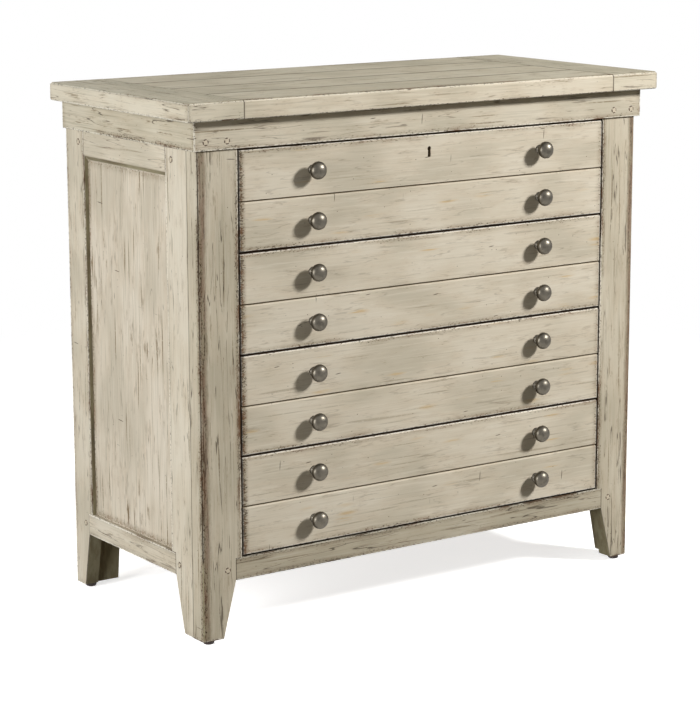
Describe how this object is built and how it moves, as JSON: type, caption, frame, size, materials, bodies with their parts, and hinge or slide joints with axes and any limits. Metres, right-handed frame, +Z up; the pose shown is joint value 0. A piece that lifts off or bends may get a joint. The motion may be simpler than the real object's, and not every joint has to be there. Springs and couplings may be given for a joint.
{
  "type": "bachelor chest",
  "caption": "Painted wooden chest with stacked flush drawers scored across to look divided, mushroom knobs, tapered legs, panelled sides and a plank top with cross ends.",
  "frame": {"origin": "on the floor under the middle of the chest's bounding box", "axes": "+X to the right seen from the front, along the width; the drawers face and open towards -Y; +Z up"},
  "size_m": [0.914, 0.4366, 0.844],
  "materials": {
    "painted_wood": "worn cream milk paint over brown stain, satin",
    "inner_wood": "bare softwood",
    "drawer_wood": "clear lacquered",
    "plywood": "sanded veneer",
    "pewter": "burnished pewter plate",
    "screw_steel": "zinc plated",
    "slide_steel": "zinc plated",
    "lock_brass": "dull brass",
    "glide_plastic": "moulded, dark brown"
  },
  "bodies": {
    "case": {"top_planks": "painted_wood", "top_end_left": "painted_wood", "top_end_right": "painted_wood", "frieze_front": "painted_wood", "frieze_left": "painted_wood", "frieze_right": "painted_wood", "post_front_left": "painted_wood", "post_front_right": "painted_wood", "side_stile_left_front": "painted_wood", "side_stile_left_rear": "painted_wood", "side_stile_right_front": "painted_wood", "side_stile_right_rear": "painted_wood", "back_stiles": "painted_wood", "side_panel_left": "painted_wood", "side_panel_right": "painted_wood", "side_rails_left": "painted_wood", "side_rails_right": "painted_wood", "bottom_front_rail": "painted_wood", "top_front_rail": "inner_wood", "back_rails": "painted_wood", "back_panel": "plywood", "bottom_panel": "plywood", "slide_mounts": "inner_wood", "slide_outer_members": "slide_steel", "pegs": "painted_wood", "glides": "glide_plastic"},
    "drawer_1": {"drawer_1_front": "painted_wood", "drawer_1_sides": "drawer_wood", "drawer_1_ends": "drawer_wood", "drawer_1_bottom": "plywood", "drawer_1_knobs": "pewter", "drawer_1_knob_screws": "screw_steel", "drawer_1_slide_inner_members": "slide_steel", "lock_case": "lock_brass"},
    "slide_cages_1": {"drawer_1_slide_cages": "slide_steel"},
    "drawer_2": {"drawer_2_front": "painted_wood", "drawer_2_sides": "drawer_wood", "drawer_2_ends": "drawer_wood", "drawer_2_bottom": "plywood", "drawer_2_knobs": "pewter", "drawer_2_knob_screws": "screw_steel", "drawer_2_slide_inner_members": "slide_steel"},
    "slide_cages_2": {"drawer_2_slide_cages": "slide_steel"},
    "drawer_3": {"drawer_3_front": "painted_wood", "drawer_3_sides": "drawer_wood", "drawer_3_ends": "drawer_wood", "drawer_3_bottom": "plywood", "drawer_3_knobs": "pewter", "drawer_3_knob_screws": "screw_steel", "drawer_3_slide_inner_members": "slide_steel"},
    "slide_cages_3": {"drawer_3_slide_cages": "slide_steel"},
    "drawer_4": {"drawer_4_front": "painted_wood", "drawer_4_sides": "drawer_wood", "drawer_4_ends": "drawer_wood", "drawer_4_bottom": "plywood", "drawer_4_knobs": "pewter", "drawer_4_knob_screws": "screw_steel", "drawer_4_slide_inner_members": "slide_steel"},
    "slide_cages_4": {"drawer_4_slide_cages": "slide_steel"},
    "lock_bolt": {"lock_bolt": "lock_brass"}
  },
  "joints": [
    {"name": "drawer_1_slide", "type": "slide", "parent": "case", "child": "drawer_1", "axis": [0, -1, 0], "range_m": [0, 0.26]},
    {"name": "slide_cages_1_slide", "type": "slide", "parent": "case", "child": "slide_cages_1", "axis": [0, -1, 0], "range_m": [0, 0.13]},
    {"name": "drawer_2_slide", "type": "slide", "parent": "case", "child": "drawer_2", "axis": [0, -1, 0], "range_m": [0, 0.26]},
    {"name": "slide_cages_2_slide", "type": "slide", "parent": "case", "child": "slide_cages_2", "axis": [0, -1, 0], "range_m": [0, 0.13]},
    {"name": "drawer_3_slide", "type": "slide", "parent": "case", "child": "drawer_3", "axis": [0, -1, 0], "range_m": [0, 0.26]},
    {"name": "slide_cages_3_slide", "type": "slide", "parent": "case", "child": "slide_cages_3", "axis": [0, -1, 0], "range_m": [0, 0.13]},
    {"name": "drawer_4_slide", "type": "slide", "parent": "case", "child": "drawer_4", "axis": [0, -1, 0], "range_m": [0, 0.26]},
    {"name": "slide_cages_4_slide", "type": "slide", "parent": "case", "child": "slide_cages_4", "axis": [0, -1, 0], "range_m": [0, 0.13]},
    {"name": "lock_bolt_slide", "type": "slide", "parent": "drawer_1", "child": "lock_bolt", "axis": [0, 0, 1], "range_m": [0, 0.007]}
  ],
  "couplings": [
    {"joint": "slide_cages_1_slide", "follows": "drawer_1_slide", "ratio": 0.5},
    {"joint": "slide_cages_2_slide", "follows": "drawer_2_slide", "ratio": 0.5},
    {"joint": "slide_cages_3_slide", "follows": "drawer_3_slide", "ratio": 0.5},
    {"joint": "slide_cages_4_slide", "follows": "drawer_4_slide", "ratio": 0.5}
  ]
}
